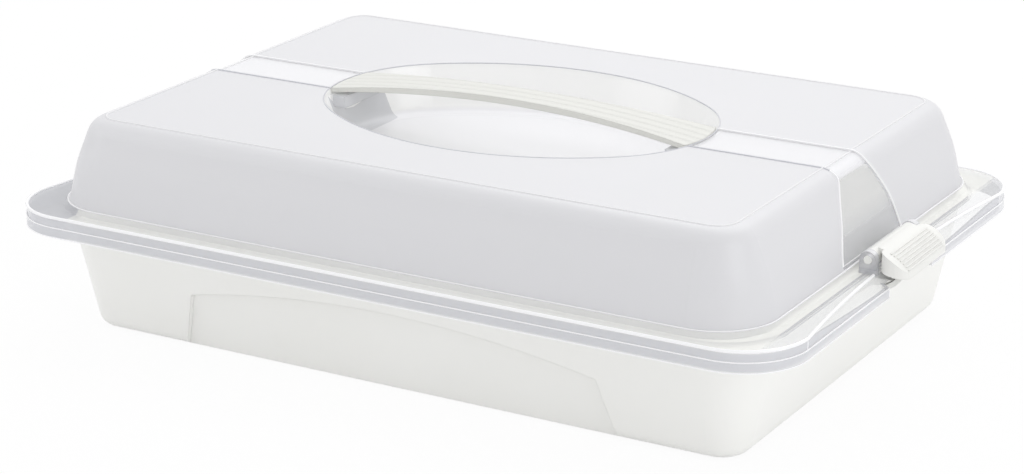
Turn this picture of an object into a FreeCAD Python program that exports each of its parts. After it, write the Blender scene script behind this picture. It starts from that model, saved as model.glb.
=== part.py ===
import FreeCAD, Part
import math
import os
import re
import Sketcher

# Cake carrier: a low tub, a translucent hood held on it by two turning clips, and an arched handle
# over an oval hand recess in the hood's top. Millimetres and degrees, +Z up. The origin is on the
# ground under the middle of the tub, and +X runs along the long side.

document = FreeCAD.newDocument("cake_carrier")
sheet = document.addObject("Spreadsheet::Sheet", "sizes")

drivingSizes = {
    # rim of the hood, which the outlines of the dome and the tub follow
    "rim_length": 422,
    "rim_width": 295,
    "rim_corner": 32,
    # tub: how far its foot stands in from the rim, walls that lean out, lip round the top
    "tub_end_inset": 31,
    "tub_side_inset": 27.5,
    "tub_corner": 14,
    "tub_lean": 12,
    "tub_wall": 2.4,
    "tub_round": 7,
    "lip_reach": 3,
    "lip_thick": 2,
    # arched panel sunk into each long wall
    "panel_foot": 122,
    "panel_shoulder": 112,
    "panel_side": 30,
    "panel_crown": 42,
    "panel_sink": 2.5,
    # hood: flange and a skirt of two steps, its ends scooped inward at the top
    "scoop_depth": 7.7,
    "flange_level": 65,
    "flange_thick": 2,
    "skirt_step_height": 5,
    "skirt_drop": 10,
    "skirt_wall": 1.6,
    "skirt_step": 0.6,
    "seat_gap": 0.3,
    "guide_depth": 1.5,
    "guide_thick": 1.4,
    "guide_gap": 0.4,
    # hood dome: how far its foot stands in from the rim
    "end_ledge": 18.5,
    "side_ledge": 10.5,
    "hood_corner": 31,
    "hood_rise": 44,
    "hood_lean_low": 13,
    "hood_lean_high": 22,
    "hood_bulge": 60,
    "hood_wall": 1.8,
    "crown_round": 11,
    "foot_lean": 42,
    "foot_rise": 2.6,
    # oval hand recess, half sizes at its brim
    "bowl_long": 104,
    "bowl_short": 77,
    "bowl_depth": 24,
    "bowl_end": 62,
    "bowl_lean": 22,
    "bowl_round": 7,
    # chamfers inside the walls, as a share of the round that would match
    "bevel_share": 0.42,
    # clear band over the hood and the window it opens into on each end, half widths and heights
    "band_half": 16,
    "band_sink": 0.7,
    "window_foot": 34,
    "window_foot_rise": 4,
    "window_top_rise": 40,
    "window_bend": 100,
    # handle
    "handle_half": 10,
    "handle_flare": 7,
    "handle_thick": 3.2,
    "handle_end_thick": 2.2,
    "handle_arch": 7.2,
    "handle_gap": 0.9,
    "tab_half": 9,
    "tab_thick": 2,
    "tab_drop": 4.5,
    "tab_inset": 7,
    "shelf_reach": 13,
    "shelf_half": 19,
    "shelf_thick": 6,
    # clips: pivot in from the rim's end and up from the flange
    "pivot_inset": 10.5,
    "pivot_rise": 7,
    "pin_radius": 2,
    "pin_gap": 0.05,
    "ear_inner": 23,
    "ear_thick": 4,
    "ear_radius": 4.2,
    "ear_side_gap": 0.4,
    "hub_radius": 3.8,
    "plate_bend": 25.4,
    "plate_thick": 2.4,
    "plate_start_x": 2.2,
    "plate_start_z": 4.4,
    "plate_end_x": 18.8,
    "plate_end_z": -4.8,
    "cap_start": 5,
    "cap_foot_near": -5.4,
    "cap_foot_far": -7.6,
    "cap_wall": 1.8,
    "plate_half": 27,
    "plate_neck_half": 20,
    "plate_shoulder": 6.2,
    "plate_corner": 6.8,
    "hook_half": 20,
    "hook_thick": 2.4,
    "hook_start": 13,
    "hook_end": 72,
    "catch_radius": 14.5,
    "catch_gap": 0.3,
    "lug_half": 19,
    "lug_root_drop": 13,
    "notch_half": 26,
    "notch_rise": 6.6,
    "grip_half": 21.5,
    "grip_count": 7,
    "grip_pitch": 4.1,
    "grip_start": 3,
    "grip_foot_turn": 1.6,
    "grip_top_turn": 0.8,
    "grip_height": 0.6,
}

for row, (alias, value) in enumerate(drivingSizes.items(), start=1):
    sheet.set("A%d" % row, alias)
    sheet.set("B%d" % row, str(value))
    sheet.setAlias("B%d" % row, alias)
document.recompute()


def ex(text):
    """Turn plain size names in a formula into references to the sheet."""
    return re.sub(r"[a-z]+(_[a-z]+)+", lambda found: "sizes." + found.group(0), text)


def valueOf(text):
    return float(sheet.evalExpression(ex(text)))


def newBody(name):
    body = document.addObject("PartDesign::Body", name)
    body.Label = name
    body.AllowCompound = True
    return body


def newSketch(body, name, role, offset=None):
    """A sketch on one of the body's origin planes, moved along its normal by a formula."""
    sketch = body.newObject("Sketcher::SketchObject", name)
    for feature in body.Origin.OriginFeatures:
        if feature.Role == role:
            sketch.AttachmentSupport = (feature, [""])
    sketch.MapMode = "FlatFace"
    if offset:
        sketch.setExpression(".AttachmentOffset.Base.z", ex(offset))
    return sketch


def bind(sketch, constraint, formula):
    index = sketch.addConstraint(constraint)
    sketch.setExpression("Constraints[%d]" % index, ex(formula))


def flat(x, y):
    return FreeCAD.Vector(x, y, 0)


def trace(sketch, corners, bends={}):
    """Closed outline through corners given as formulas. A bend turns the side after its corner into
    an arc of that radius, with its centre on the left of the way along it (+1) or the right (-1)."""
    values = [(valueOf(x), valueOf(y)) for x, y in corners]
    first = sketch.GeometryCount
    ends = []
    for i, (px, py) in enumerate(values):
        qx, qy = values[(i + 1) % len(values)]
        if i not in bends:
            sketch.addGeometry(Part.LineSegment(flat(px, py), flat(qx, qy)), False)
            ends.append((1, 2))
            continue
        radius = valueOf(bends[i][0])
        side = bends[i][1]
        chord = math.hypot(qx - px, qy - py)
        rise = math.sqrt(radius * radius - chord * chord / 4)
        cx = (px + qx) / 2 - side * rise * (qy - py) / chord
        cy = (py + qy) / 2 + side * rise * (qx - px) / chord
        angles = [math.atan2(py - cy, px - cx), math.atan2(qy - cy, qx - cx)]
        if side < 0:
            angles.reverse()
        circle = Part.Circle(flat(cx, cy), FreeCAD.Vector(0, 0, 1), radius)
        sketch.addGeometry(Part.ArcOfCircle(circle, angles[0], angles[1]), False)
        ends.append((1, 2) if side > 0 else (2, 1))
    for i, (x, y) in enumerate(corners):
        after = (i + 1) % len(corners)
        sketch.addConstraint(Sketcher.Constraint("Coincident", first + i, ends[i][1],
                                                 first + after, ends[after][0]))
        here = (-1, 1, first + i, ends[i][0])
        bind(sketch, Sketcher.Constraint("DistanceX", *here, values[i][0]), x)
        bind(sketch, Sketcher.Constraint("DistanceY", *here, values[i][1]), y)
    for i, (radius, side) in bends.items():
        bind(sketch, Sketcher.Constraint("Radius", first + i, valueOf(radius)), radius)


def roundedCorners(length, width, radius):
    """Corner formulas and bends of a rounded rectangle."""
    halfX = "(%s)/2" % length
    halfY = "(%s)/2" % width
    inX = "(%s-(%s))" % (halfX, radius)
    inY = "(%s-(%s))" % (halfY, radius)
    corners = [("-" + inX, "-" + halfY), (inX, "-" + halfY), (halfX, "-" + inY), (halfX, inY),
               (inX, halfY), ("-" + inX, halfY), ("-" + halfX, inY), ("-" + halfX, "-" + inY)]
    bends = {1: (radius, 1), 3: (radius, 1), 5: (radius, 1), 7: (radius, 1)}
    return corners, bends


def roundedSketch(body, name, offset, length, width, radius):
    sketch = newSketch(body, name, "XY_Plane", offset)
    trace(sketch, *roundedCorners(length, width, radius))
    return sketch


def box(left, right, low, high):
    return [(left, low), (right, low), (right, high), (left, high)]


def bothEnds(sketch, corners, bends={}):
    """The outline and its mirror image in the sketch's vertical axis."""
    trace(sketch, corners, bends)
    trace(sketch, [("-(%s)" % x, y) for x, y in corners],
          {i: (radius, -side) for i, (radius, side) in bends.items()})


def circle(sketch, x, y, radius):
    ring = Part.Circle(flat(valueOf(x), valueOf(y)), FreeCAD.Vector(0, 0, 1), valueOf(radius))
    index = sketch.addGeometry(ring, False)
    bind(sketch, Sketcher.Constraint("DistanceX", -1, 1, index, 3, valueOf(x)), x)
    bind(sketch, Sketcher.Constraint("DistanceY", -1, 1, index, 3, valueOf(y)), y)
    bind(sketch, Sketcher.Constraint("Radius", index, valueOf(radius)), radius)


def ovalSketch(body, name, offset, halfX, halfY, endRadius):
    """An oval of four arcs: half sizes and the radius of its two tight ends."""
    sketch = newSketch(body, name, "XY_Plane", offset)
    sideRadius = "(((%s-%s)^2+%s^2-%s^2)/(2*(%s-%s)))" % (halfX, endRadius, halfY, endRadius, halfY,
                                                          endRadius)
    share = "(%s/(%s-%s))" % (endRadius, sideRadius, endRadius)
    x = "((%s-%s)*(1+%s))" % (halfX, endRadius, share)
    y = "((%s-%s)*%s)" % (sideRadius, halfY, share)
    trace(sketch, [(x, "-" + y), (x, y), ("-" + x, y), ("-" + x, "-" + y)],
          {0: (endRadius, 1), 1: (sideRadius, 1), 2: (endRadius, 1), 3: (sideRadius, 1)})
    return sketch


def pad(body, name, sketch, length, both=False, kind="Pad"):
    made = body.newObject("PartDesign::" + kind, name)
    made.Profile = sketch
    made.setExpression("Length", ex(length))
    if both:
        made.SideType = "Symmetric"
    return made


def leaning(body, name, sketch, length, level, angle, outward):
    """Pad a sketch upward, then lean its walls outward or inward about the sketch's own level."""
    raised = pad(body, name + "Block", sketch, length)
    document.recompute()
    low = valueOf(level)
    walls = ["Face%d" % (i + 1) for i, face in enumerate(raised.Shape.Faces)
             if face.BoundBox.ZLength > 0.01 and face.BoundBox.ZMin > low - 0.01]
    datum = body.newObject("PartDesign::Plane", name + "Level")
    datum.AttachmentSupport = sketch.AttachmentSupport
    datum.MapMode = "FlatFace"
    datum.setExpression(".AttachmentOffset.Base.z", ex(level))
    leant = body.newObject("PartDesign::Draft", name + "Walls")
    leant.Base = (raised, walls)
    leant.NeutralPlane = (datum, [""])
    leant.setExpression("Angle", ex(angle))
    leant.Reversed = outward
    document.recompute()
    grew = leant.Shape.Volume > raised.Shape.Volume
    if grew != outward:
        raise RuntimeError(name + " leans the wrong way")
    return leant


def flatAt(edge, level):
    return max(abs(edge.BoundBox.ZMin - level), abs(edge.BoundBox.ZMax - level)) < 0.01


def roundEdges(body, name, radius, level, kind="Fillet"):
    """Fillet the flat edges at a level of the body's last feature. The chamfer, for faces that only
    show from inside, takes the share of the radius that keeps the wall nearly even."""
    document.recompute()
    base = body.Tip
    height = valueOf(level)
    names = ["Edge%d" % (i + 1) for i, edge in enumerate(base.Shape.Edges) if flatAt(edge, height)]
    made = body.newObject("PartDesign::" + kind, name)
    made.Base = (base, names)
    if kind == "Fillet":
        made.setExpression("Radius", ex(radius))
    else:
        made.setExpression("Size", ex("bevel_share*(%s)" % radius))
    return made


def combine(kind, name, base, tool):
    made = document.addObject("Part::" + kind, name)
    made.Base = base
    made.Tool = tool
    made.Label = name
    return made


# levels and outlines that several pieces share
tubTop = "(flange_level-flange_thick-seat_gap)"
hoodTop = "(flange_level+hood_rise)"
skirtFoot = "(flange_level-skirt_drop)"
stepLevel = "(flange_level-skirt_step_height)"
pivotX = "(rim_length/2-pivot_inset)"
pivotZ = "(flange_level+pivot_rise)"
lean = "tan(tub_lean)"
tubLength = "(rim_length-2*tub_end_inset)"
tubWidth = "(rim_width-2*tub_side_inset)"
domeLength = "(rim_length-2*end_ledge)"
domeWidth = "(rim_width-2*side_ledge)"


# base tub
def tubOutline(body, name, level, inset):
    grown = "(%s*(%s)-(%s))" % (lean, level, inset)
    return roundedSketch(body, name, level, "(%s+2*%s)" % (tubLength, grown),
                         "(%s+2*%s)" % (tubWidth, grown), "(tub_corner+%s)" % grown)


def panelCutter(name, grow):
    """Wedge outside the wall's sunk face, kept only inside the arched panel's outline."""
    cutter = newBody(name)
    wedge = newSketch(cutter, name + "Wedge", "YZ_Plane")
    footY = "(%s/2-panel_sink-(%s))" % (tubWidth, grow)
    topY = "(%s+%s*(panel_crown+20))" % (footY, lean)
    outY = "(%s/2+40)" % tubWidth
    bothEnds(wedge, [(footY, "0"), (outY, "0"), (outY, "panel_crown+20"), (topY, "panel_crown+20")])
    pad(cutter, name + "Bar", wedge, "2*" + tubLength, both=True)
    arch = newSketch(cutter, name + "Arch", "XZ_Plane")
    trace(arch, box("-%s-1" % tubLength, tubLength + "+1", "-10", "panel_crown+30"))
    footX = "(panel_foot+(%s))" % grow
    sideX = "(panel_shoulder+(%s))" % grow
    sideZ = "(panel_side+(%s)/2)" % grow
    rise = "(panel_crown-panel_side+(%s)/2)" % grow
    bend = "(%s^2+%s^2)/(2*%s)" % (sideX, rise, rise)
    trace(arch, [("-" + footX, "-5"), (footX, "-5"), (sideX, sideZ), ("-" + sideX, sideZ)],
          {2: (bend, 1)})
    pad(cutter, name + "Trim", arch, "2*" + tubWidth, both=True, kind="Pocket")
    return cutter


tubOuter = newBody("tubOuter")
leaning(tubOuter, "tub", tubOutline(tubOuter, "tubFoot", "0", "0"), tubTop,
        "0", "tub_lean", True)
roundEdges(tubOuter, "tubFootRound", "tub_round", "0")
pad(tubOuter, "tubLip", tubOutline(tubOuter, "tubLipLine", tubTop + "-lip_thick", "-lip_reach"),
    "lip_thick")

tubInner = newBody("tubInner")
leaning(tubInner, "room", tubOutline(tubInner, "tubFloor", "tub_wall", "tub_wall"), tubTop,
        "tub_wall", "tub_lean", True)
roundEdges(tubInner, "tubFloorBevel", "tub_round-tub_wall", "tub_wall", "Chamfer")

# latch lug at the middle of each short end, its underside round about the clip's pivot
lugs = newBody("latchLugs")
lugSketch = newSketch(lugs, "lugSide", "XZ_Plane")
lugTop = "(%s+notch_rise-seat_gap-0.1)" % skirtFoot
lugFace = "(%s+sqrt(catch_radius^2-(%s-%s)^2))" % (pivotX, pivotZ, lugTop)
lugFoot = "(%s-catch_radius)" % pivotZ
lugBack = "(%s/2-tub_wall/2+%s*(%s-lug_root_drop))" % (tubLength, lean, tubTop)
bothEnds(lugSketch, [(lugBack, tubTop + "-lug_root_drop"), (pivotX, lugFoot), (lugFace, lugTop),
                     (lugBack, lugTop)], {1: ("catch_radius", 1)})
pad(lugs, "lugPad", lugSketch, "2*lug_half", both=True)

panelOuter = panelCutter("panelOuter", "0")
panelInner = panelCutter("panelInner", "tub_wall")
tubSunk = combine("Cut", "tubSunk", tubOuter, panelOuter)
tubRoomShape = combine("Cut", "tubRoomShape", tubInner, panelInner)
tubWithLugs = combine("Fuse", "tubWithLugs", tubSunk, lugs)
baseTub = combine("Cut", "base_tub", tubWithLugs, tubRoomShape)


# hood
rimBlock = newBody("rimBlock")
lowBand = roundedSketch(rimBlock, "skirtFootLine", skirtFoot, "rim_length+2*skirt_step",
                        "rim_width+2*skirt_step", "rim_corner+skirt_step")
pad(rimBlock, "skirtLow", lowBand, "skirt_drop-skirt_step_height")
highBand = roundedSketch(rimBlock, "skirtStepLine", stepLevel, "rim_length", "rim_width", "rim_corner")
pad(rimBlock, "skirtHigh", highBand, "skirt_step_height")
underFlange = newBody("underFlange")
underLine = roundedSketch(underFlange, "underFlangeLine", skirtFoot + "-1", "rim_length-2*skirt_wall",
                          "rim_width-2*skirt_wall", "rim_corner-skirt_wall")
pad(underFlange, "underFlangePad", underLine, "skirt_drop-flange_thick+1")


def scoop(name, inset):
    """Two wide cones that hollow the flange's ends: nothing at the step line, most at the top edge."""
    straight = "(rim_width/2-rim_corner)"
    wide = "((%s^2+scoop_depth^2)/(2*scoop_depth))" % straight
    slope = "(scoop_depth/skirt_step_height)"
    cones = []
    for tag, side in (("Right", ""), ("Left", "-")):
        cone = document.addObject("Part::Cone", name + tag)
        cone.setExpression("Radius1", ex("%s-skirt_step_height*%s" % (wide, slope)))
        cone.setExpression("Radius2", ex("%s+%s" % (wide, slope)))
        cone.setExpression("Height", ex("skirt_step_height+1"))
        middle = "%s(rim_length/2-scoop_depth+%s-(%s))" % (side, wide, inset)
        cone.setExpression(".Placement.Base.x", ex(middle))
        cone.setExpression(".Placement.Base.z", ex(stepLevel))
        cones.append(cone)
    return combine("Fuse", name, cones[0], cones[1])


rimScooped = combine("Cut", "rimScooped", rimBlock, scoop("scoopOuter", "0"))
underScooped = combine("Cut", "underScooped", underFlange, scoop("scoopInner", "skirt_wall*1.5"))

# rib under the flange that keeps the tub's lip in the middle
lipLevel = "(%s-lip_thick)" % tubTop
lipOut = "(%s*%s+lip_reach)" % (lean, lipLevel)
lipLength = "(%s+2*%s)" % (tubLength, lipOut)
lipWidth = "(%s+2*%s)" % (tubWidth, lipOut)
lipCorner = "(tub_corner+%s)" % lipOut
guideRib = newBody("guideRib")
guide = roundedSketch(guideRib, "guideLine", "flange_level-flange_thick-guide_depth",
                      lipLength + "+2*guide_gap+2*guide_thick", lipWidth + "+2*guide_gap+2*guide_thick",
                      lipCorner + "+guide_gap+guide_thick")
trace(guide, *roundedCorners(lipLength + "+2*guide_gap", lipWidth + "+2*guide_gap",
                             lipCorner + "+guide_gap"))
pad(guideRib, "guidePad", guide, "guide_depth+flange_thick/2")

# flared foot of the dome, and the hole inside it
domeFoot = newBody("domeFoot")
footLine = roundedSketch(domeFoot, "footLine", "flange_level", domeLength + "+2*foot_rise",
                         domeWidth + "+2*foot_rise", "hood_corner+foot_rise")
leaning(domeFoot, "domeFoot", footLine, "foot_rise", "flange_level", "foot_lean", False)
rimHole = newBody("rimHole")
holeLine = roundedSketch(rimHole, "rimHoleLine", skirtFoot, domeLength + "-2*hood_wall",
                         domeWidth + "-2*hood_wall", "hood_corner-hood_wall")
pad(rimHole, "rimHolePad", holeLine, "skirt_drop")

# ears that the clips turn in, and the notch that lets the hook through the skirt
earBody = newBody("clipEars")
ears = newSketch(earBody, "earSide", "XZ_Plane")
earFoot = "flange_level-flange_thick/2"
earCorners = [(pivotX + "-ear_radius", earFoot), (pivotX + "+ear_radius", earFoot),
              (pivotX + "+ear_radius", pivotZ), (pivotX + "-ear_radius", pivotZ)]
bothEnds(ears, earCorners, {2: ("ear_radius*1.0001", 1)})
circle(ears, pivotX, pivotZ, "pin_radius+pin_gap")
circle(ears, "-" + pivotX, pivotZ, "pin_radius+pin_gap")
pad(earBody, "earBars", ears, "2*(ear_inner+ear_thick)", both=True)
between = newSketch(earBody, "earBetween", "XZ_Plane")
bothEnds(between, box(pivotX + "-2*ear_radius", pivotX + "+2*ear_radius", "flange_level-flange_thick",
                      pivotZ + "+2*ear_radius"))
pad(earBody, "earGap", between, "2*ear_inner", both=True, kind="Pocket")
notches = newBody("skirtNotches")
notch = newSketch(notches, "notchSide", "XZ_Plane")
bothEnds(notch, box(pivotX + "+2*pin_radius", "rim_length/2+10", skirtFoot + "-1",
                    skirtFoot + "+notch_rise"))
pad(notches, "notchPad", notch, "2*notch_half", both=True)


def dome(name, inset, inside=False):
    """The dome's form moved inward by the inset: two leaning courses, with the bend between them and
    the crown rounded. The wall's inside has a plain bend and a bevelled crown."""
    body = newBody(name)

    def course(tag, level, inward):
        moved = "(%s+%s)" % (inward, inset)
        return roundedSketch(body, name + tag, level, "(%s-2*%s)" % (domeLength, moved),
                             "(%s-2*%s)" % (domeWidth, moved), "(hood_corner-%s)" % moved)

    waist = "(flange_level+hood_rise/2)"
    leaning(body, name + "Low", course("Foot", "flange_level", "0"), "hood_rise/2",
            "flange_level", "hood_lean_low", False)
    leaning(body, name + "High", course("Waist", waist, "hood_rise/2*tan(hood_lean_low)"),
            "hood_rise/2-" + inset, waist, "hood_lean_high", False)
    if not inside:
        roundEdges(body, name + "Bulge", "hood_bulge", waist)
    roundEdges(body, name + "Crown", "crown_round-" + inset, "%s-%s" % (hoodTop, inset),
               "Chamfer" if inside else "Fillet")
    return body


def bowl(name, grow, above, foot="Fillet"):
    """The hand recess as a solid, grown outward and down, standing a little above the hood's top."""
    body = newBody(name)
    low = "(%s-bowl_depth-%s)" % (hoodTop, grow)
    height = "(bowl_depth+%s+%s)" % (grow, above)
    inward = "((bowl_depth+%s)*tan(bowl_lean)-%s)" % (grow, grow)
    floor = ovalSketch(body, name + "Low", low, "(bowl_long-%s)" % inward, "(bowl_short-%s)" % inward,
                       "(bowl_end-%s)" % inward)
    leaning(body, name, floor, height, low, "bowl_lean", True)
    roundEdges(body, name + "Round", "bowl_round+" + grow, low, foot)
    return body


domeOuter = dome("domeOuter", "0")
domeBand = dome("domeBand", "band_sink")
domeRoom = dome("domeRoom", "hood_wall", True)
bowlCup = bowl("bowlCup", "hood_wall", "0", "Chamfer")
bowlRoom = bowl("bowlRoom", "0", "5")

# layer that the clear band and windows are sunk by
window = newBody("windowBar")
windowSketch = newSketch(window, "windowFace", "YZ_Plane")
windowFoot = "flange_level+window_foot_rise"
windowTop = "flange_level+window_top_rise"
trace(windowSketch, [("-window_foot", windowFoot), ("window_foot", windowFoot), ("band_half", windowTop),
                     ("band_half", hoodTop + "+5"), ("-band_half", hoodTop + "+5"),
                     ("-band_half", windowTop)],
      {1: ("window_bend", 1), 5: ("window_bend", 1)})
pad(window, "windowPad", windowSketch, domeLength + "+20", both=True)
skin = combine("Cut", "domeSkin", domeOuter, domeBand)
windowLayer = combine("Common", "windowLayer", skin, window)

# shelves inside the recess that the handle's ends lie on, with a slot for each tab
shelves = newBody("handleShelves")
shelfTop = "(%s-handle_end_thick-seat_gap)" % hoodTop
shelfSketch = newSketch(shelves, "shelfPlan", "XY_Plane", shelfTop + "-shelf_thick")
bothEnds(shelfSketch, box("bowl_long-shelf_reach", "bowl_long+hood_wall", "-shelf_half", "shelf_half"))
tabMid = "(bowl_long-tab_inset)"
bothEnds(shelfSketch, box(tabMid + "-tab_thick/2-seat_gap", tabMid + "+tab_thick/2+seat_gap",
                          "-tab_half-seat_gap", "tab_half+seat_gap"))
pad(shelves, "shelfPad", shelfSketch, "shelf_thick")
shelvesInCup = combine("Common", "shelvesInCup", shelves, bowlCup)

rimHollow = combine("Cut", "rimHollow", rimScooped, underScooped)
rimEared = combine("Fuse", "rimEared", rimHollow, earBody)
rimNotched = combine("Cut", "rimNotched", rimEared, notches)
rimGuided = combine("Fuse", "rimGuided", rimNotched, guideRib)
rimFooted = combine("Fuse", "rimFooted", rimGuided, domeFoot)
rimOpen = combine("Cut", "rimOpen", rimFooted, rimHole)
hoodSolid = combine("Fuse", "hoodSolid", rimOpen, domeOuter)
hoodSpace = combine("Cut", "hoodSpace", domeRoom, bowlCup)
hoodShell = combine("Cut", "hoodShell", hoodSolid, hoodSpace)
hoodBowl = combine("Cut", "hoodBowl", hoodShell, bowlRoom)
hoodBand = combine("Cut", "hoodBand", hoodBowl, windowLayer)
hood = combine("Fuse", "hood", hoodBand, shelvesInCup)


# handle
handle = newBody("handle")
strap = newSketch(handle, "strapSide", "XZ_Plane")
reach = "(bowl_long-handle_gap)"
endLow = "(%s+seat_gap)" % shelfTop
crownLow = "(handle_arch+handle_end_thick-handle_thick)"
topBend = "(%s^2+handle_arch^2)/(2*handle_arch)" % reach
lowBend = "(%s^2+%s^2)/(2*%s)" % (reach, crownLow, crownLow)
trace(strap, [("-" + reach, endLow), (reach, endLow), (reach, hoodTop), ("-" + reach, hoodTop)],
      {0: (lowBend, -1), 2: (topBend, 1)})
pad(handle, "strapPad", strap, "2*(handle_half+handle_flare+2)", both=True)
plan = newSketch(handle, "strapPlan", "XY_Plane")
trace(plan, box("-bowl_long-9", "bowl_long+9", "-3*handle_half", "3*handle_half"))
endHalf = "(handle_half+handle_flare)"
cornerX = "(%s-2.6)" % reach
sideBend = "(%s^2+handle_flare^2)/(2*handle_flare)" % cornerX
endBend = "(%s^2+2.6^2)/(2*2.6)" % endHalf
trace(plan, [("-" + cornerX, "-" + endHalf), (cornerX, "-" + endHalf), (cornerX, endHalf),
             ("-" + cornerX, endHalf)],
      {0: (sideBend, -1), 1: (endBend, 1), 2: (sideBend, -1), 3: (endBend, 1)})
trim = pad(handle, "strapTrim", plan, "4*%s" % hoodTop, both=True, kind="Pocket")
tabs = newSketch(handle, "tabPlan", "XY_Plane", endLow + "-tab_drop")
bothEnds(tabs, box(tabMid + "-tab_thick/2", tabMid + "+tab_thick/2", "-tab_half", "tab_half"))
pad(handle, "tabPad", tabs, "tab_drop+handle_end_thick/2")


# clips
startX = "(%s+plate_start_x)" % pivotX
startZ = "(%s+plate_start_z)" % pivotZ
endX = "(%s+plate_end_x)" % pivotX
endZ = "(%s+plate_end_z)" % pivotZ
runX = "(plate_end_x-plate_start_x)"
runZ = "(plate_end_z-plate_start_z)"
run = "sqrt(%s^2+%s^2)" % (runX, runZ)
deep = "sqrt(plate_bend^2-(%s)^2/4)" % run
bendX = "(%s+%s/2+%s*%s/(%s))" % (startX, runX, runZ, deep, run)
bendZ = "(%s+%s/2-%s*%s/(%s))" % (startZ, runZ, runX, deep, run)


def underPlate(x):
    """Height of the plate's underside at x."""
    return "(%s+sqrt((plate_bend-plate_thick)^2-(%s-%s)^2))" % (bendZ, x, bendX)


def clipPlan(body, name, inset):
    """Cut away what lies outside the clip's outline seen from above, moved inward by the inset."""
    plan = newSketch(body, name, "XY_Plane")
    trace(plan, box(pivotX + "-20", pivotX + "+40", "-2*plate_half", "2*plate_half"))
    neck = "(plate_neck_half-(%s))" % inset
    wide = "(plate_half-(%s))" % inset
    neckEnd = "(%s+cap_start+(%s))" % (pivotX, inset)
    wideStart = "(%s+cap_start+plate_shoulder)" % pivotX
    far = "(%s+0.4-(%s))" % (endX, inset)
    cornerStart = "(%s+(%s)-plate_corner)" % (far, inset)
    cornerSide = "(plate_half-plate_corner)"
    shoulder = "(((%s-%s)^2+(%s-%s)^2)/(2*(%s-%s)))" % (wideStart, neckEnd, wide, neck, wide, neck)
    corner = "plate_corner-(%s)" % inset
    trace(plan, [(pivotX + "-10", "-" + neck), (neckEnd, "-" + neck), (wideStart, "-" + wide),
                 (cornerStart, "-" + wide), (far, "-" + cornerSide), (far, cornerSide),
                 (cornerStart, wide), (wideStart, wide), (neckEnd, neck), (pivotX + "-10", neck)],
          {1: (shoulder, 1), 3: (corner, 1), 5: (corner, 1), 7: (shoulder, 1)})
    pad(body, name + "Trim", plan, "4*%s" % pivotZ, both=True, kind="Pocket")


cap = newBody("clipCap")
capSide = newSketch(cap, "capSide", "XZ_Plane")
capNear = "(%s+cap_start)" % pivotX
trace(capSide, [(startX, underPlate(startX)), (capNear, underPlate(capNear)),
                (capNear, "%s+cap_foot_near" % pivotZ), (endX + "+0.4", "%s+cap_foot_far" % pivotZ),
                (endX, endZ), (startX, startZ)], {4: ("plate_bend", 1)})
pad(cap, "capPad", capSide, "2*plate_half", both=True)
clipPlan(cap, "capPlan", "0")
capRoom = newBody("clipCapRoom")
roomSide = newSketch(capRoom, "capRoomSide", "XZ_Plane")
roomFar = "(%s-cap_wall+0.4)" % endX
roomFoot = "%s-14" % pivotZ
roomStart = "(%s-1)" % capNear
trace(roomSide, [(roomStart, roomFoot), (roomFar, roomFoot), (roomFar, underPlate(roomFar)),
                 (roomStart, underPlate(roomStart))], {2: ("plate_bend-plate_thick", 1)})
pad(capRoom, "capRoomPad", roomSide, "2*plate_half", both=True)
clipPlan(capRoom, "capRoomPlan", "cap_wall")
clipShell = combine("Cut", "clipShell", cap, capRoom)
clip = newBody("clipWorks")
hub = newSketch(clip, "hubSide", "XZ_Plane")
circle(hub, pivotX, pivotZ, "hub_radius")
pad(clip, "hub", hub, "2*(ear_inner-ear_side_gap)", both=True)
pin = newSketch(clip, "pinSide", "XZ_Plane")
circle(pin, pivotX, pivotZ, "pin_radius")
pad(clip, "pins", pin, "2*(ear_inner+ear_thick)", both=True)
hookSketch = newSketch(clip, "hookSide", "XZ_Plane")


def roundPivot(radius, angle):
    return ("(%s+(%s)*cos(%s))" % (pivotX, radius, angle), "(%s-(%s)*sin(%s))" % (pivotZ, radius, angle))


hookIn = "(catch_radius+catch_gap)"
hookOut = "(catch_radius+catch_gap+hook_thick)"
trace(hookSketch, [roundPivot(hookIn, "hook_start"), roundPivot(hookIn, "hook_end"),
                   roundPivot(hookOut, "hook_end"), roundPivot(hookOut, "hook_start")],
      {0: (hookIn, -1), 2: (hookOut, 1)})
pad(clip, "hook", hookSketch, "2*hook_half", both=True)
grips = newSketch(clip, "gripSide", "XZ_Plane")
endAngle = "atan((%s-%s)/(%s-%s))" % (endZ, bendZ, endX, bendX)


def roundBend(radius, angle, turn):
    """Point at a radius from the plate's own centre, turned from an angle by so many degrees."""
    turned = "(%s+(%s)*1deg)" % (angle, turn)
    return ("(%s+(%s)*cos(%s))" % (bendX, radius, turned), "(%s+(%s)*sin(%s))" % (bendZ, radius, turned))


gripFoot = "plate_bend-plate_thick/3"
gripTop = "plate_bend+grip_height"
for i in range(int(valueOf("grip_count"))):
    angle = "(%s+(grip_start+%d*grip_pitch)*1deg)" % (endAngle, i)
    trace(grips, [roundBend(gripFoot, angle, "-grip_foot_turn"), roundBend(gripTop, angle, "-grip_top_turn"),
                  roundBend(gripTop, angle, "grip_top_turn"), roundBend(gripFoot, angle, "grip_foot_turn")])
pad(clip, "grips", grips, "2*grip_half", both=True)
rightClip = combine("Fuse", "right_clip", clipShell, clip)

document.recompute()

leftClip = document.addObject("Part::Mirroring", "left_clip")
leftClip.Source = rightClip
leftClip.Base = FreeCAD.Vector(0, 0, 0)
leftClip.Normal = FreeCAD.Vector(1, 0, 0)
leftClip.Label = "left_clip"
document.recompute()

for made in document.Objects:
    if "Invalid" in made.State or "Error" in made.State:
        raise RuntimeError("%s is %s" % (made.Name, made.State))

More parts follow.
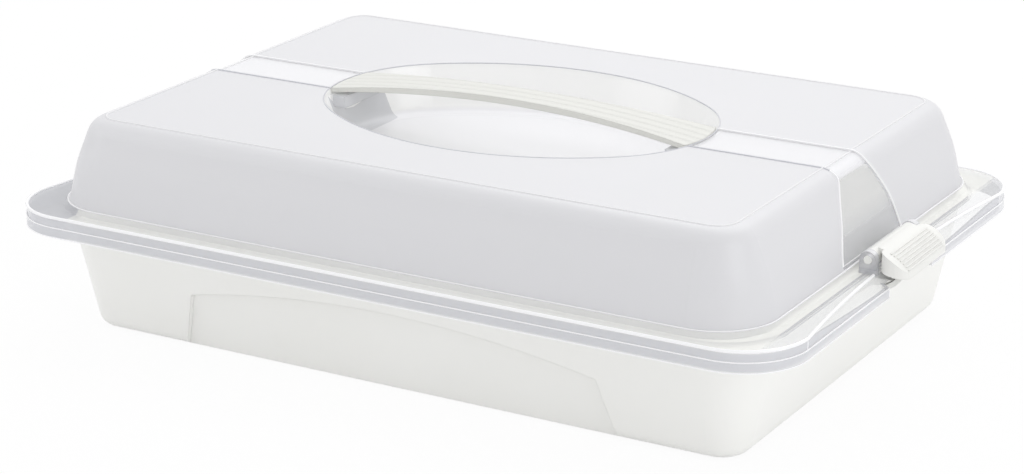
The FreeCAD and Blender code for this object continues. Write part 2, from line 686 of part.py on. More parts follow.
os.makedirs("parts", exist_ok=True)
for piece in (baseTub, hood, handle, leftClip, rightClip):
    shape = piece.Shape
    if shape.isNull() or not shape.isValid():
        raise RuntimeError(piece.Label + " has no sound shape")
    if len(shape.Solids) != 1:
        raise RuntimeError("%s has %d solids" % (piece.Label, len(shape.Solids)))
    shape.exportStep("parts/%s.step" % piece.Label)
    extent = shape.BoundBox
    print(piece.Label, round(shape.Volume / 1000, 2), "ml", [round(v, 2) for v in (
        extent.XMin, extent.XMax, extent.YMin, extent.YMax, extent.ZMin, extent.ZMax)])
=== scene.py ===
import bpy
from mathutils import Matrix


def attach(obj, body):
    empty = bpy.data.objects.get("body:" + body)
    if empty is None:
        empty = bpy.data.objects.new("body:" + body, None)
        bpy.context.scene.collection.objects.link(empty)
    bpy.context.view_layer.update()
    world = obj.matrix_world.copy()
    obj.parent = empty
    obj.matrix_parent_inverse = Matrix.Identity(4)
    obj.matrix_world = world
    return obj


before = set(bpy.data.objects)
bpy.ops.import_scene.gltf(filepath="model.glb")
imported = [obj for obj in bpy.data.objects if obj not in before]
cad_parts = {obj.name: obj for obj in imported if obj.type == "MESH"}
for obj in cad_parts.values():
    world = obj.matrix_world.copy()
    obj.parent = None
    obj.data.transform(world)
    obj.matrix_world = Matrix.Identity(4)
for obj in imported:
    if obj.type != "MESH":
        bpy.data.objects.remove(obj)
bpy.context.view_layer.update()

import math
import bpy
from mathutils import Vector
from mathutils.bvhtree import BVHTree

# A cake carrier in a white studio: the imported solids get their plastics here, and thin beads are laid
# along the moulded edges of the hood, white as painted highlights and grey as painted shade. Metres, with
# the frame's own axes.


def linear(hexColor):
    # sRGB hex to linear values
    values = []
    for i in (0, 2, 4):
        c = int(hexColor[i:i + 2], 16) / 255
        values.append(c / 12.92 if c <= 0.04045 else ((c + 0.055) / 1.055) ** 2.4)
    return (*values, 1.0)


def addNode(tree, kind, settings={}, links={}):
    # a node with its settings and its inputs, by name or number: a value, or a socket to link
    node = tree.nodes.new(kind)
    for name, value in settings.items():
        setattr(node, name, value)
    for name, value in links.items():
        if isinstance(value, bpy.types.NodeSocket):
            tree.links.new(value, node.inputs[name])
        else:
            node.inputs[name].default_value = value
    return node


def newMaterial(name):
    material = bpy.data.materials.new(name)
    material.use_nodes = True
    tree = material.node_tree
    tree.nodes.clear()
    output = addNode(tree, "ShaderNodeOutputMaterial")
    shader = addNode(tree, "ShaderNodeBsdfPrincipled")
    tree.links.new(shader.outputs[0], output.inputs[0])
    return material, tree, shader


print("materials")

# White polypropylene, injection moulded: a soft satin skin with a fine spark-eroded grain. The grain is
# drawn at 1.2 mm, coarser than the real 0.1 mm, so that it shows at all.
plasticIor = 1.49
grainDepth = 0.0002
grainDetail = 2.0
bevelSamples = 4
whiteCloud = {"scale": 14.0, "detail": 2.0, "glossSpread": 0.05}
tubPlastic = {"color": "fafaf8", "dark": "f6f6f3", "roughness": 0.42, "grain": 0.0012, "bump": 0.015,
              "edge": 0.0009}


def whitePolypropylene(name, look, grooves=None):
    material, tree, shader = newMaterial(name)
    place = addNode(tree, "ShaderNodeTexCoord").outputs["Object"]
    cloud = addNode(tree, "ShaderNodeTexNoise", {},
                    {"Vector": place, "Scale": whiteCloud["scale"], "Detail": whiteCloud["detail"]})
    mixed = addNode(tree, "ShaderNodeMix", {"data_type": "RGBA"},
                    {0: cloud.outputs[0], 6: linear(look["dark"]), 7: linear(look["color"])})
    tree.links.new(mixed.outputs[2], shader.inputs["Base Color"])
    gloss = addNode(tree, "ShaderNodeMapRange", {},
                    {0: cloud.outputs[0], 3: look["roughness"] - whiteCloud["glossSpread"],
                     4: look["roughness"] + whiteCloud["glossSpread"]})
    tree.links.new(gloss.outputs[0], shader.inputs["Roughness"])
    shader.inputs["IOR"].default_value = plasticIor
    grain = addNode(tree, "ShaderNodeTexNoise", {},
                    {"Vector": place, "Scale": 1 / look["grain"], "Detail": grainDetail}).outputs[0]
    bump = addNode(tree, "ShaderNodeBump", {}, {"Strength": look["bump"], "Distance": grainDepth,
                                                "Height": grain})
    soft = addNode(tree, "ShaderNodeBevel", {"samples": bevelSamples}, {"Radius": look["edge"]})
    tree.links.new(soft.outputs[0], bump.inputs["Normal"])
    # shallow steps that run lengthwise
    if grooves:
        across = addNode(tree, "ShaderNodeSeparateXYZ", {}, {0: place}).outputs[1]
        turns = addNode(tree, "ShaderNodeMath", {"operation": "MULTIPLY"},
                        {0: across, 1: math.pi / grooves["pitch"]}).outputs[0]
        wave = addNode(tree, "ShaderNodeMath", {"operation": "COSINE"}, {0: turns}).outputs[0]
        crest = addNode(tree, "ShaderNodeMath", {"operation": "ABSOLUTE"}, {0: wave}).outputs[0]
        lines = addNode(tree, "ShaderNodeMath", {"operation": "SQRT"}, {0: crest}).outputs[0]
        ridges = addNode(tree, "ShaderNodeBump", {}, {"Strength": grooves["strength"],
                                                      "Distance": grooves["depth"], "Height": lines})
        tree.links.new(bump.outputs[0], ridges.inputs["Normal"])
        bump = ridges
    tree.links.new(bump.outputs[0], shader.inputs["Normal"])
    return material


tubMaterial = whitePolypropylene("satinWhitePolypropylene", tubPlastic)
handlePlastic = {"color": "e2e2de", "dark": "ddddd8", "roughness": 0.45, "grain": 0.0012, "bump": 0.015,
                 "edge": 0.0006}
handleMaterial = whitePolypropylene("handlePolypropylene", handlePlastic,
                                    {"pitch": 0.0066, "strength": 0.6, "depth": 0.0010})
clipPlastic = {"color": "f1f1ee", "dark": "ededea", "roughness": 0.42, "grain": 0.0012, "bump": 0.015,
               "edge": 0.0003}
clipMaterial = whitePolypropylene("clipPolypropylene", clipPlastic)

# Translucent polypropylene, injection moulded in one shot: frosted by an etched mould over most of the
# walls and the top, and polished in the band, the end windows, the hand recess and the rim. There it is
# see-through with sharper reflections. Its grey on upright walls is painted shade, and the upright walls
# of the hand recess are painted whiter as painted light. The grey at the left end of the flange is painted
# shade, at one end only; the ends are alike.
hoodPlastic = {
    "frost": {"color": "dfdfe2", "alpha": 0.95, "roughness": 0.38},
    "window": {"color": "e2e3e7", "alpha": 0.14, "roughness": 0.10},
    # painted shade: the low part of the window is grey for the dark inside seen through it
    "windowLowPaintedShade": {"color": "c6c7cc", "alpha": 0.42, "roughness": 0.10},
    "band": {"color": "f0f0f3", "alpha": 0.80, "roughness": 0.14},
    "recess": {"color": "f6f6f9", "alpha": 0.88, "roughness": 0.16},
    # painted light: the recess's upright walls are whiter than its floor, for light passing through them
    "recessWallPaintedLight": {"color": "ffffff", "alpha": 0.95, "roughness": 0.16},
    # painted shade: a grey patch low on the recess's end walls
    "recessEndPaintedShade": {"color": "dadbdf", "alpha": 0.94, "roughness": 0.20},
    "flange": {"color": "f8f8f4", "alpha": 0.50, "roughness": 0.10},
    "flangeEnd": {"color": "e9eaec", "alpha": 0.22, "roughness": 0.10},
    # painted shade: grey at the flange's left end only
    "flangeLeftPaintedShade": {"color": "babbc0", "alpha": 0.80, "roughness": 0.10},
    # painted shade: the skirt's upright faces are greyer than the level flange; its lower alpha is the
    # real clearer plastic
    "skirt": {"color": "e0e1e6", "alpha": 0.62, "roughness": 0.12},
    # painted shade: the skirt's inward faces are grey
    "skirtInsidePaintedShade": {"color": "bcbdc2", "alpha": 0.80, "roughness": 0.16},
    # window corners as y and z, and the bend of its sides
    "windowFoot": (0.034, 0.069), "windowTop": (0.016, 0.105), "windowBend": 0.100,
    # the height below which the window gets its painted shade, and how fast that grows
    "windowDim": 0.0900, "windowDimGain": 80.0,
    # the hand recess, and the patch of painted shade on each end: from x, to x, half width, top
    "recessHalf": (0.1045, 0.0785), "recessLow": 0.082, "topLevel": 0.1087,
    "endPatch": (0.0865, 0.0985, 0.0235, 0.1066),
    "rimTop": 0.0672, "rimMiddle": (0.179, 0.1155), "rimInside": 0.0314, "endLedge": 0.1985,
    "flangeShade": -0.171, "skirtTilt": 0.55,
    # how level a face is where the upward zones start, and how fast they grow
    "levelFrom": 0.5, "levelGain": 4.0,
    "grain": 0.0009, "grainStrength": 0.03, "edge": 0.0008,
    "throughLight": 0.82, "edgeBlend": 0.4, "edgePower": 3.0, "edgeShare": 0.5,
}
zoneOrder = ("window", "windowLowPaintedShade", "band", "recess", "recessWallPaintedLight", "recessEndPaintedShade", "flange", "flangeEnd",
             "flangeLeftPaintedShade", "skirt", "skirtInsidePaintedShade")


def windowCentre(look):
    # middle of the arc that each side of the window follows, as y and z
    (y1, z1), (y2, z2) = look["windowFoot"], look["windowTop"]
    chord = math.hypot(y2 - y1, z2 - z1)
    rise = math.sqrt(look["windowBend"] ** 2 - chord * chord / 4)
    return (y1 + y2) / 2 - rise * (z2 - z1) / chord, (z1 + z2) / 2 + rise * (y2 - y1) / chord


def windowHalf(look, height):
    # half the window's width at a height
    midY, midZ = windowCentre(look)
    held = min(max(height, look["windowFoot"][1]), look["windowTop"][1])
    return midY + math.sqrt(look["windowBend"] ** 2 - (held - midZ) ** 2)


def hoodPolypropylene(name, look):
    material, tree, shader = newMaterial(name)
    place = addNode(tree, "ShaderNodeTexCoord").outputs
    x, y, z = addNode(tree, "ShaderNodeSeparateXYZ", {}, {0: place["Object"]}).outputs
    tilt = addNode(tree, "ShaderNodeSeparateXYZ", {}, {0: place["Normal"]}).outputs[2]
    held = addNode(tree, "ShaderNodeClamp", {},
                   {0: z, 1: look["windowFoot"][1], 2: look["windowTop"][1]}).outputs[0]
    edgeOn = addNode(tree, "ShaderNodeLayerWeight", {}, {0: look["edgeBlend"]}).outputs["Facing"]
    rays = addNode(tree, "ShaderNodeLightPath").outputs
    grain = addNode(tree, "ShaderNodeTexNoise", {},
                    {"Vector": place["Object"], "Scale": 1 / look["grain"],
                     "Detail": grainDetail}).outputs[0]
    known = {"x": x, "y": y, "z": z, "tilt": tilt, "held": held, "edgeOn": edgeOn, "grain": grain,
             "shadowRay": rays["Is Shadow Ray"], "diffuseRay": rays["Is Diffuse Ray"]}
    midY, midZ = windowCentre(look)
    # each line is one sum: its name, what it does, and two values or names of earlier lines
    sums = [
        ("offX", "ABSOLUTE", "x", 0),
        ("offY", "ABSOLUTE", "y", 0),
        ("level", "ABSOLUTE", "tilt", 0),
        ("overLevel", "SUBTRACT", "level", look["levelFrom"]),
        ("levelRamp", "MULTIPLY", "overLevel", look["levelGain"]),
        ("raised", "MAXIMUM", "levelRamp", 0.0),
        ("upward", "MINIMUM", "raised", 1.0),
        ("sideways", "SUBTRACT", 1.0, "upward"),
        # the clear band, and the windows it opens into: half as wide as this at each height
        ("above", "SUBTRACT", "held", midZ),
        ("aboveSquare", "MULTIPLY", "above", "above"),
        ("acrossSquare", "SUBTRACT", look["windowBend"] ** 2, "aboveSquare"),
        ("across", "SQRT", "acrossSquare", 0),
        ("half", "ADD", "across", midY),
        ("window", "LESS_THAN", "offY", "half"),
        ("band", "MULTIPLY", "window", "upward"),
        # below windowDim the window is painted grey, painted shade for the inside seen through it
        ("depth", "SUBTRACT", look["windowDim"], "z"),
        ("depthShare", "MULTIPLY", "depth", look["windowDimGain"]),
        ("dimFrom", "MAXIMUM", "depthShare", 0.0),
        ("dimTo", "MINIMUM", "dimFrom", 1.0),
        ("windowLowPaintedShade", "MULTIPLY", "window", "dimTo"),
        # the hand recess, with painted shade low on its two end walls and its upright walls painted whiter
        # as painted light
        ("inLength", "LESS_THAN", "offX", look["recessHalf"][0]),
        ("inWidth", "LESS_THAN", "offY", look["recessHalf"][1]),
        ("underTop", "LESS_THAN", "z", look["topLevel"]),
        ("overRoom", "GREATER_THAN", "z", look["recessLow"]),
        ("inside", "MULTIPLY", "inLength", "inWidth"),
        ("between", "MULTIPLY", "underTop", "overRoom"),
        ("recess", "MULTIPLY", "inside", "between"),
        ("recessWallPaintedLight", "MULTIPLY", "recess", "sideways"),
        ("farOut", "GREATER_THAN", "offX", look["endPatch"][0]),
        ("notBrim", "LESS_THAN", "offX", look["endPatch"][1]),
        ("nearMiddle", "LESS_THAN", "offY", look["endPatch"][2]),
        ("lowEnough", "LESS_THAN", "z", look["endPatch"][3]),
        ("patchLength", "MULTIPLY", "farOut", "notBrim"),
        ("patchSides", "MULTIPLY", "nearMiddle", "lowEnough"),
        ("patch", "MULTIPLY", "patchLength", "patchSides"),
        ("recessEndPaintedShade", "MULTIPLY", "recess", "patch"),
        # the rim: its flange, the ends of that, painted shade at the flange's left end, the upright skirt
        # painted grey as shade, and painted shade on the skirt's faces that look inwards
        ("flange", "LESS_THAN", "z", look["rimTop"]),
        ("overEnd", "GREATER_THAN", "offX", look["endLedge"]),
        ("flangeEnd", "MULTIPLY", "flange", "overEnd"),
        ("shadeSide", "LESS_THAN", "x", look["flangeShade"]),
        ("flangeLeftPaintedShade", "MULTIPLY", "flange", "shadeSide"),
        ("steep", "LESS_THAN", "level", look["skirtTilt"]),
        ("skirt", "MULTIPLY", "flange", "steep"),
        ("pastX", "SUBTRACT", "offX", look["rimMiddle"][0]),
        ("overX", "MAXIMUM", "pastX", 0.0),
        ("pastY", "SUBTRACT", "offY", look["rimMiddle"][1]),
        ("overY", "MAXIMUM", "pastY", 0.0),
        ("squareX", "MULTIPLY", "overX", "overX"),
        ("squareY", "MULTIPLY", "overY", "overY"),
        ("squares", "ADD", "squareX", "squareY"),
        ("fromCorner", "SQRT", "squares", 0),
        ("within", "LESS_THAN", "fromCorner", look["rimInside"]),
        ("skirtInsidePaintedShade", "MULTIPLY", "skirt", "within"),
        # polished places carry no etched grain
        ("polished", "MAXIMUM", "window", "recess"),
        ("frosted", "SUBTRACT", 1.0, "polished"),
        ("etched", "MULTIPLY", "grain", "frosted"),
        # seen edge on, clear walls close up; light and shadow rays pass, which keeps the inside bright
        ("edge", "POWER", "edgeOn", look["edgePower"]),
        ("closing", "MULTIPLY", "edge", look["edgeShare"]),
        ("passing", "MAXIMUM", "shadowRay", "diffuseRay"),
        ("passed", "MULTIPLY", "passing", look["throughLight"]),
        ("stopped", "SUBTRACT", 1.0, "passed"),
    ]
    for made, operation, a, b in sums:
        known[made] = addNode(tree, "ShaderNodeMath", {"operation": operation},
                              {0: known.get(a, a), 1: known.get(b, b)}).outputs[0]
    frost = look["frost"]
    color, alpha, gloss = linear(frost["color"]), frost["alpha"], frost["roughness"]
    for zone in zoneOrder:
        mask, there = known[zone], look[zone]
        color = addNode(tree, "ShaderNodeMix", {"data_type": "RGBA"},
                        {0: mask, 6: color, 7: linear(there["color"])}).outputs[2]
        alpha = addNode(tree, "ShaderNodeMix", {}, {0: mask, 2: alpha, 3: there["alpha"]}).outputs[0]
        gloss = addNode(tree, "ShaderNodeMix", {}, {0: mask, 2: gloss, 3: there["roughness"]}).outputs[0]
    closed = addNode(tree, "ShaderNodeMix", {}, {0: known["closing"], 2: alpha, 3: 1.0}).outputs[0]
    shown = addNode(tree, "ShaderNodeMath", {"operation": "MULTIPLY"},
                    {0: closed, 1: known["stopped"]}).outputs[0]
    tree.links.new(color, shader.inputs["Base Color"])
    tree.links.new(gloss, shader.inputs["Roughness"])
    tree.links.new(shown, shader.inputs["Alpha"])
    shader.inputs["IOR"].default_value = plasticIor
    soft = addNode(tree, "ShaderNodeBevel", {"samples": bevelSamples}, {"Radius": look["edge"]})
    bump = addNode(tree, "ShaderNodeBump", {},
                   {"Strength": look["grainStrength"], "Distance": grainDepth, "Height": known["etched"],
                    "Normal": soft.outputs[0]})
    tree.links.new(bump.outputs[0], shader.inputs["Normal"])
    return material


hoodMaterial = hoodPolypropylene("frostedAndClearPolypropylene", hoodPlastic)

for node, material in (("base_tub", tubMaterial), ("hood", hoodMaterial), ("handle", handleMaterial),
                       ("left_clip", clipMaterial), ("right_clip", clipMaterial)):
    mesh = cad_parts[node].data
    mesh.materials.clear()
    mesh.materials.append(material)

print("beads")
# Where the clear plastic turns a moulded edge, its small round gathers light into a bright thread. Each
# thread is a fine bead laid along the edge, white as a painted highlight.
beads = {"rimEdge": 0.00085, "skirtEdge": 0.00032, "windowEdge": 0.00050, "footEdge": 0.00028,
         "brimEdge": 0.00032, "crownEdge": 0.00050, "seam": 0.00022, "sides": 8}
rim = {"halfX": 0.2110, "halfY": 0.1475, "corner": 0.032, "scoop": 0.0077, "top": 0.0650,
       "step": 0.0600, "foot": 0.0550, "stepOut": 0.0006, "notchHalf": 0.026}
dome = {"footX": 0.1929, "footY": 0.1374, "footCorner": 0.0314, "footZ": 0.0677, "top": 0.1090,
        "brimLong": 0.104, "brimShort": 0.077, "brimEnd": 0.062, "brimSteps": 40,
        "crownX": 0.1719, "crownY": 0.1164, "crownCorner": 0.0104, "crownTurn": (0.15, 0.1),
        "bandHalf": 0.0164, "bandSink": 0.0007, "bandStart": 0.1078}
# the rays that find the window's edge on the hood: where they meet, how far out and aside they start, and
# how far the bead is lifted and runs on over the brim
windowSweep = {"meetX": 0.150, "meetZ": 0.0690, "steps": 60, "tries": 4, "out": 0.09, "aside": 0.0003,
               "lift": 0.0001, "overBrim": 0.0002}


def edgeThread(name, color, roughness):
    material, tree, shader = newMaterial(name)
    shader.inputs["Base Color"].default_value = linear(color)
    shader.inputs["Roughness"].default_value = roughness
    shader.inputs["IOR"].default_value = plasticIor
    return material


# The same polypropylene where it is round and thin: nearly white on the clear outer edges as a painted
# highlight, grey on the brim as painted shade, which is seen against the white recess, and matt and
# lighter than the frost as a painted highlight where the frosted top turns into the crown.
paintedHighlightEdge = edgeThread("clearPolypropylenePaintedHighlight", "fdfdff", 0.22)
paintedShadeEdge = edgeThread("clearPolypropylenePaintedShade", "cfd0d6", 0.22)
frostedHighlightEdge = edgeThread("frostedPolypropylenePaintedHighlight", "ececee", 0.38)


def beadTree(material):
    # edges in, round beads out
    group = bpy.data.node_groups.new("beadAlongEdges", "GeometryNodeTree")
    group.interface.new_socket("Geometry", in_out="INPUT", socket_type="NodeSocketGeometry")
    radius = group.interface.new_socket("Radius", in_out="INPUT", socket_type="NodeSocketFloat")
    sides = group.interface.new_socket("Sides", in_out="INPUT", socket_type="NodeSocketInt")
    group.interface.new_socket("Geometry", in_out="OUTPUT", socket_type="NodeSocketGeometry")
    given = addNode(group, "NodeGroupInput").outputs
    line = addNode(group, "GeometryNodeMeshToCurve", {}, {"Mesh": given["Geometry"]})
    ring = addNode(group, "GeometryNodeCurvePrimitiveCircle", {},
                   {"Resolution": given["Sides"], "Radius": given["Radius"]})
    bead = addNode(group, "GeometryNodeCurveToMesh", {},
                   {"Curve": line.outputs[0], "Profile Curve": ring.outputs[0], "Fill Caps": True})
    real = addNode(group, "GeometryNodeRealizeInstances", {}, {0: bead.outputs[0]})
    done = addNode(group, "GeometryNodeSetMaterial", {},
                   {"Geometry": real.outputs[0], "Material": material})
    addNode(group, "NodeGroupOutput", {}, {0: done.outputs[0]})
    return group, radius.identifier, sides.identifier


paintedHighlightTree = beadTree(paintedHighlightEdge)
paintedShadeTree = beadTree(paintedShadeEdge)
frostedHighlightTree = beadTree(frostedHighlightEdge)


def layBead(name, threads, radius, tree):
    # each thread is a list of points and whether it closes
    points, edges = [], []
    for path, closes in threads:
        first = len(points)
        points += path
        edges += [(first + i, first + i + 1) for i in range(len(path) - 1)]
        if closes:
            edges.append((first + len(path) - 1, first))
    lines = bpy.data.meshes.new(name + "Lines")
    lines.from_pydata(points, edges, [])
    bead = bpy.data.objects.new(name, lines)
    bpy.context.scene.collection.objects.link(bead)
    group, radiusSocket, sidesSocket = tree
    maker = bead.modifiers.new("bead", "NODES")
    maker.node_group = group
    maker[radiusSocket] = radius
    maker[sidesSocket] = beads["sides"]
    seen = bead.evaluated_get(bpy.context.evaluated_depsgraph_get())
    mesh = bpy.data.meshes.new_from_object(seen)
    bead.modifiers.clear()
    bead.data = mesh
    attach(bead, "hood")


cornerSteps, endSteps = 14, 24


def roundedPath(halfX, halfY, corner, level, scoop=0.0):
    # rounded rectangle, counter-clockwise from the front right; its two ends may be hollow
    path = []
    inX, inY = halfX - corner, halfY - corner
    for sideX, sideY, start in ((1, -1, -90), (1, 1, 0), (-1, 1, 90), (-1, -1, 180)):
        for k in range(cornerSteps + 1):
            turn = math.radians(start + 90 * k / cornerSteps)
            path.append((sideX * inX + corner * math.cos(turn),
                         sideY * inY + corner * math.sin(turn), level))
        if scoop and sideX == -sideY:
            for k in range(1, endSteps):
                along = -1 + 2 * k / endSteps
                deep = halfX - scoop * (1 - along * along)
                path.append((sideX * deep, sideX * along * inY, level))
    return path


def skirtThreads(look, level):
    # the skirt's line at a level, open at the two notches
    farX = look["halfX"] + look["stepOut"]
    whole = roundedPath(farX, look["halfY"] + look["stepOut"], look["corner"] + look["stepOut"], level)
    front = [(-farX, -look["notchHalf"], level)]
    front += sorted([p for p in whole if p[1] < 0 and p[0] <= 0], key=lambda p: (-p[1], p[0]))
    front += sorted([p for p in whole if p[1] < 0 and p[0] > 0], key=lambda p: (p[1], p[0]))
    front.append((farX, -look["notchHalf"], level))
    return [(front, False), ([(x, -y, z) for x, y, z in front], False)]


rimThread = roundedPath(rim["halfX"], rim["halfY"], rim["corner"], rim["top"], rim["scoop"])
layBead("rimTopBead", [(rimThread, True)], beads["rimEdge"], paintedHighlightTree)
layBead("skirtBeads", skirtThreads(rim, rim["step"]) + skirtThreads(rim, rim["foot"]),
        beads["skirtEdge"], paintedHighlightTree)
# upright seams where the rim's corners start, and at the sides of the notches
seams = []
for sideX in (-1, 1):
    for sideY in (-1, 1):
        seamX, seamY = sideX * rim["halfX"], sideY * (rim["halfY"] - rim["corner"])
        seams.append(([(seamX, seamY, rim["top"]), (seamX, seamY, rim["step"])], False))
        cutX, cutY = sideX * (rim["halfX"] + rim["stepOut"]), sideY * rim["notchHalf"]
        seams.append(([(cutX, cutY, rim["foot"]), (cutX, cutY, rim["step"])], False))
layBead("skirtSeams", seams, beads["seam"], paintedHighlightTree)

# window and band edges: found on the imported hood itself
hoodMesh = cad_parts["hood"].data
hoodTree = BVHTree.FromPolygons([v.co for v in hoodMesh.vertices], [p.vertices for p in hoodMesh.polygons])


def windowThread(sideX, sideY, look, sweep):
    path = []
    middle = Vector((sideX * sweep["meetX"], 0, sweep["meetZ"]))
    height = look["windowFoot"][1]
    for k in range(sweep["steps"] + 1):
        turn = math.radians(90 * k / sweep["steps"])
        way = Vector((sideX * math.cos(turn), 0, math.sin(turn)))
        # the width depends on the height that is found, so each ray is cast a few times
        for again in range(sweep["tries"]):
            start = middle + way * sweep["out"]
            start.y = sideY * (windowHalf(look, height) + sweep["aside"])
            hit = hoodTree.ray_cast(start, -way)[0]
            height = hit.z
        path.append((hit.x, hit.y, hit.z + sweep["lift"]))
    endMiddle = dome["brimLong"] - dome["brimEnd"]
    brimX = endMiddle + math.sqrt(dome["brimEnd"] ** 2 - look["windowTop"][0] ** 2)
    path.append((sideX * (brimX + sweep["overBrim"]), path[-1][1], path[-1][2]))
    return path


windowPaths = {(sideX, sideY): windowThread(sideX, sideY, hoodPlastic, windowSweep)
               for sideX in (-1, 1) for sideY in (-1, 1)}
topStart = {side: next(i for i, p in enumerate(path) if p[2] > dome["bandStart"])
            for side, path in windowPaths.items()}
layBead("windowBeads", [(path[:topStart[side] + 1], False) for side, path in windowPaths.items()],
        beads["windowEdge"], paintedHighlightTree)
# on the flat top the front edge of the band is a grey line of painted shade and the back one a white line
# of painted highlight; both edges are alike
for name, sideY, tree in (("bandBeadsFront", -1, paintedShadeTree), ("bandBeadsBack", 1, paintedHighlightTree)):
    edges = [(windowPaths[side][topStart[side]:], False) for side in ((-1, sideY), (1, sideY))]
    layBead(name, edges, beads["windowEdge"], tree)

footThread = roundedPath(dome["footX"], dome["footY"], dome["footCorner"], dome["footZ"])
layBead("domeFootBead", [(footThread, True)], beads["footEdge"], paintedHighlightTree)
# the line where the flat top goes over into the crown, a lighter bead as a painted highlight, lower where
# it crosses the sunk band; a scoop too small to see gives it points along the ends
unseenScoop = 1e-7
crownPath = roundedPath(dome["crownX"], dome["crownY"], dome["crownCorner"], dome["top"], unseenScoop)
crossing = dome["top"] - dome["bandSink"]
turnX, turnY = dome["crownTurn"]
crownThreads = []
for sideX in (-1, 1):
    front = [p for p in crownPath if p[0] * sideX > 0 and p[1] < -dome["bandHalf"]]
    # in order round a point inside the corner
    front = sorted(front, key=lambda p: math.atan2(p[1] + turnY, p[0] * sideX - turnX))
    front = [(0.0, -dome["crownY"], dome["top"])] + front
    front.append((sideX * dome["crownX"], -dome["bandHalf"], dome["top"]))
    crownThreads.append((front, False))
    crownThreads.append(([(px, -py, pz) for px, py, pz in front], False))
    over = [(sideX * dome["crownX"], y, crossing) for y in (-dome["bandHalf"], dome["bandHalf"])]
    crownThreads.append((over, False))
layBead("crownBeads", crownThreads, beads["crownEdge"], frostedHighlightTree)


def brimPath(look, level):
    # the oval brim of four arcs
    ends, long, short, steps = look["brimEnd"], look["brimLong"], look["brimShort"], look["brimSteps"]
    side = ((long - ends) ** 2 + short ** 2 - ends ** 2) / (2 * (short - ends))
    turnEnd = math.atan2(side - short, long - ends)
    path = []
    for k in range(steps):
        turn = -turnEnd + 2 * turnEnd * k / steps
        path.append((long - ends + ends * math.cos(turn), ends * math.sin(turn), level))
    for k in range(steps):
        turn = turnEnd + (math.pi - 2 * turnEnd) * k / steps
        path.append((side * math.cos(turn), short - side + side * math.sin(turn), level))
    return path + [(-x, -y, z) for x, y, z in path]


# the brim's bead is grey, a line of painted shade
layBead("brimBead", [(brimPath(dome, dome["top"]), True)], beads["brimEdge"], paintedShadeTree)

print("camera")
# the camera as fitted to the photo, with focal length and shift in its pixels
cameraLook = {"azimuth": 29.515, "elevation": 18.99, "distance": 1.4157,
              "target": (0.01315, 0.0, 0.04337), "focalPixels": 2817.5, "shiftPixels": 30.2,
              "sensor": 36.0, "photoWidth": 1024, "clipEnd": 50}
azimuth = math.radians(cameraLook["azimuth"])
elevation = math.radians(cameraLook["elevation"])
back = Vector((math.sin(azimuth) * math.cos(elevation), -math.cos(azimuth) * math.cos(elevation),
               math.sin(elevation)))
lens = bpy.data.cameras.new("camera")
lens.sensor_width = cameraLook["sensor"]
lens.lens = cameraLook["focalPixels"] * cameraLook["sensor"] / cameraLook["photoWidth"]
lens.shift_x = -cameraLook["shiftPixels"] / cameraLook["photoWidth"]
lens.clip_end = cameraLook["clipEnd"]
camera = bpy.data.objects.new("camera", lens)
camera.location = Vector(cameraLook["target"]) + back * cameraLook["distance"]
camera.rotation_euler = back.to_track_quat("Z", "Y").to_euler()
bpy.context.scene.collection.objects.link(camera)
bpy.context.scene.camera = camera

print("studio")
studio = {"floorSize": 12.0, "floorLevel": -0.0002, "floorColor": "f8f8f8", "floorLift": 0.93,
          "world": 0.73}


def seenDirectly(tree):
    # 1 for rays from the camera, gloss and clear plastic, which see the white studio
    path = addNode(tree, "ShaderNodeLightPath").outputs
    eye = addNode(tree, "ShaderNodeMath", {"operation": "MAXIMUM"},
                  {0: path["Is Camera Ray"], 1: path["Is Transmission Ray"]}).outputs[0]
    return addNode(tree, "ShaderNodeMath", {"operation": "MAXIMUM"},
                   {0: eye, 1: path["Is Glossy Ray"]}).outputs[0]


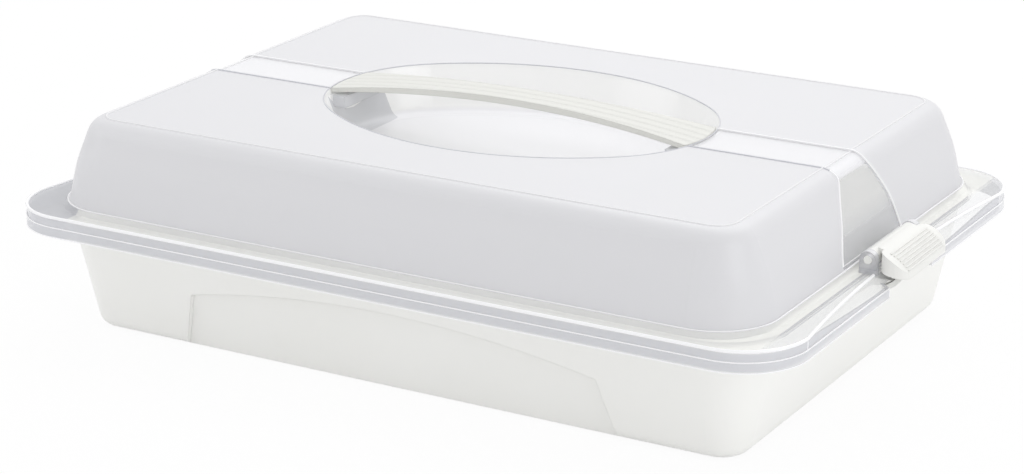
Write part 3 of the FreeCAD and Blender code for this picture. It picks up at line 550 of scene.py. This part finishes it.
floorMesh = bpy.data.meshes.new("floor")
half, low = studio["floorSize"] / 2, studio["floorLevel"]
floorMesh.from_pydata([(-half, -half, low), (half, -half, low), (half, half, low), (-half, half, low)],
                      [], [(0, 1, 2, 3)])
floor = bpy.data.objects.new("floor", floorMesh)
bpy.context.scene.collection.objects.link(floor)
# white studio paper: it takes the object's shadow, and what the camera sees of it is lifted to white
floorMaterial = bpy.data.materials.new("whitePaperFloor")
floorMaterial.use_nodes = True
tree = floorMaterial.node_tree
tree.nodes.clear()
seen = seenDirectly(tree)
paper = addNode(tree, "ShaderNodeBsdfDiffuse", {}, {0: linear(studio["floorColor"])})
white = addNode(tree, "ShaderNodeEmission", {}, {0: (1, 1, 1, 1), 1: 1.0})
lift = addNode(tree, "ShaderNodeMath", {"operation": "MULTIPLY"},
               {0: seen, 1: studio["floorLift"]}).outputs[0]
mixed = addNode(tree, "ShaderNodeMixShader", {}, {0: lift, 1: paper.outputs[0], 2: white.outputs[0]})
addNode(tree, "ShaderNodeOutputMaterial", {}, {0: mixed.outputs[0]})
floorMesh.materials.append(floorMaterial)

world = bpy.data.worlds.new("studio")
bpy.context.scene.world = world
world.use_nodes = True
tree = world.node_tree
tree.nodes.clear()
seen = seenDirectly(tree)
level = addNode(tree, "ShaderNodeMix", {"data_type": "FLOAT"}, {0: seen, 2: studio["world"], 3: 1.0})
sky = addNode(tree, "ShaderNodeBackground", {}, {0: (1, 1, 1, 1), 1: level.outputs[0]})
addNode(tree, "ShaderNodeOutputWorld", {}, {0: sky.outputs[0]})

lamps = {
    "overheadBox": {"place": (-0.1, 0.9, 1.4), "size": 1.5, "power": 10.0},
    "leftBox": {"place": (-1.7, -0.9, 1.0), "size": 1.2, "power": 5.0},
    "rightBox": {"place": (1.7, -0.6, 0.9), "size": 1.0, "power": 6.0},
}
for name, lamp in lamps.items():
    light = bpy.data.lights.new(name, "AREA")
    light.size = lamp["size"]
    light.energy = lamp["power"]
    box = bpy.data.objects.new(name, light)
    box.location = lamp["place"]
    box.rotation_euler = Vector(lamp["place"]).to_track_quat("Z", "Y").to_euler()
    bpy.context.scene.collection.objects.link(box)

bpy.context.scene.view_settings.view_transform = "Standard"

print("done")
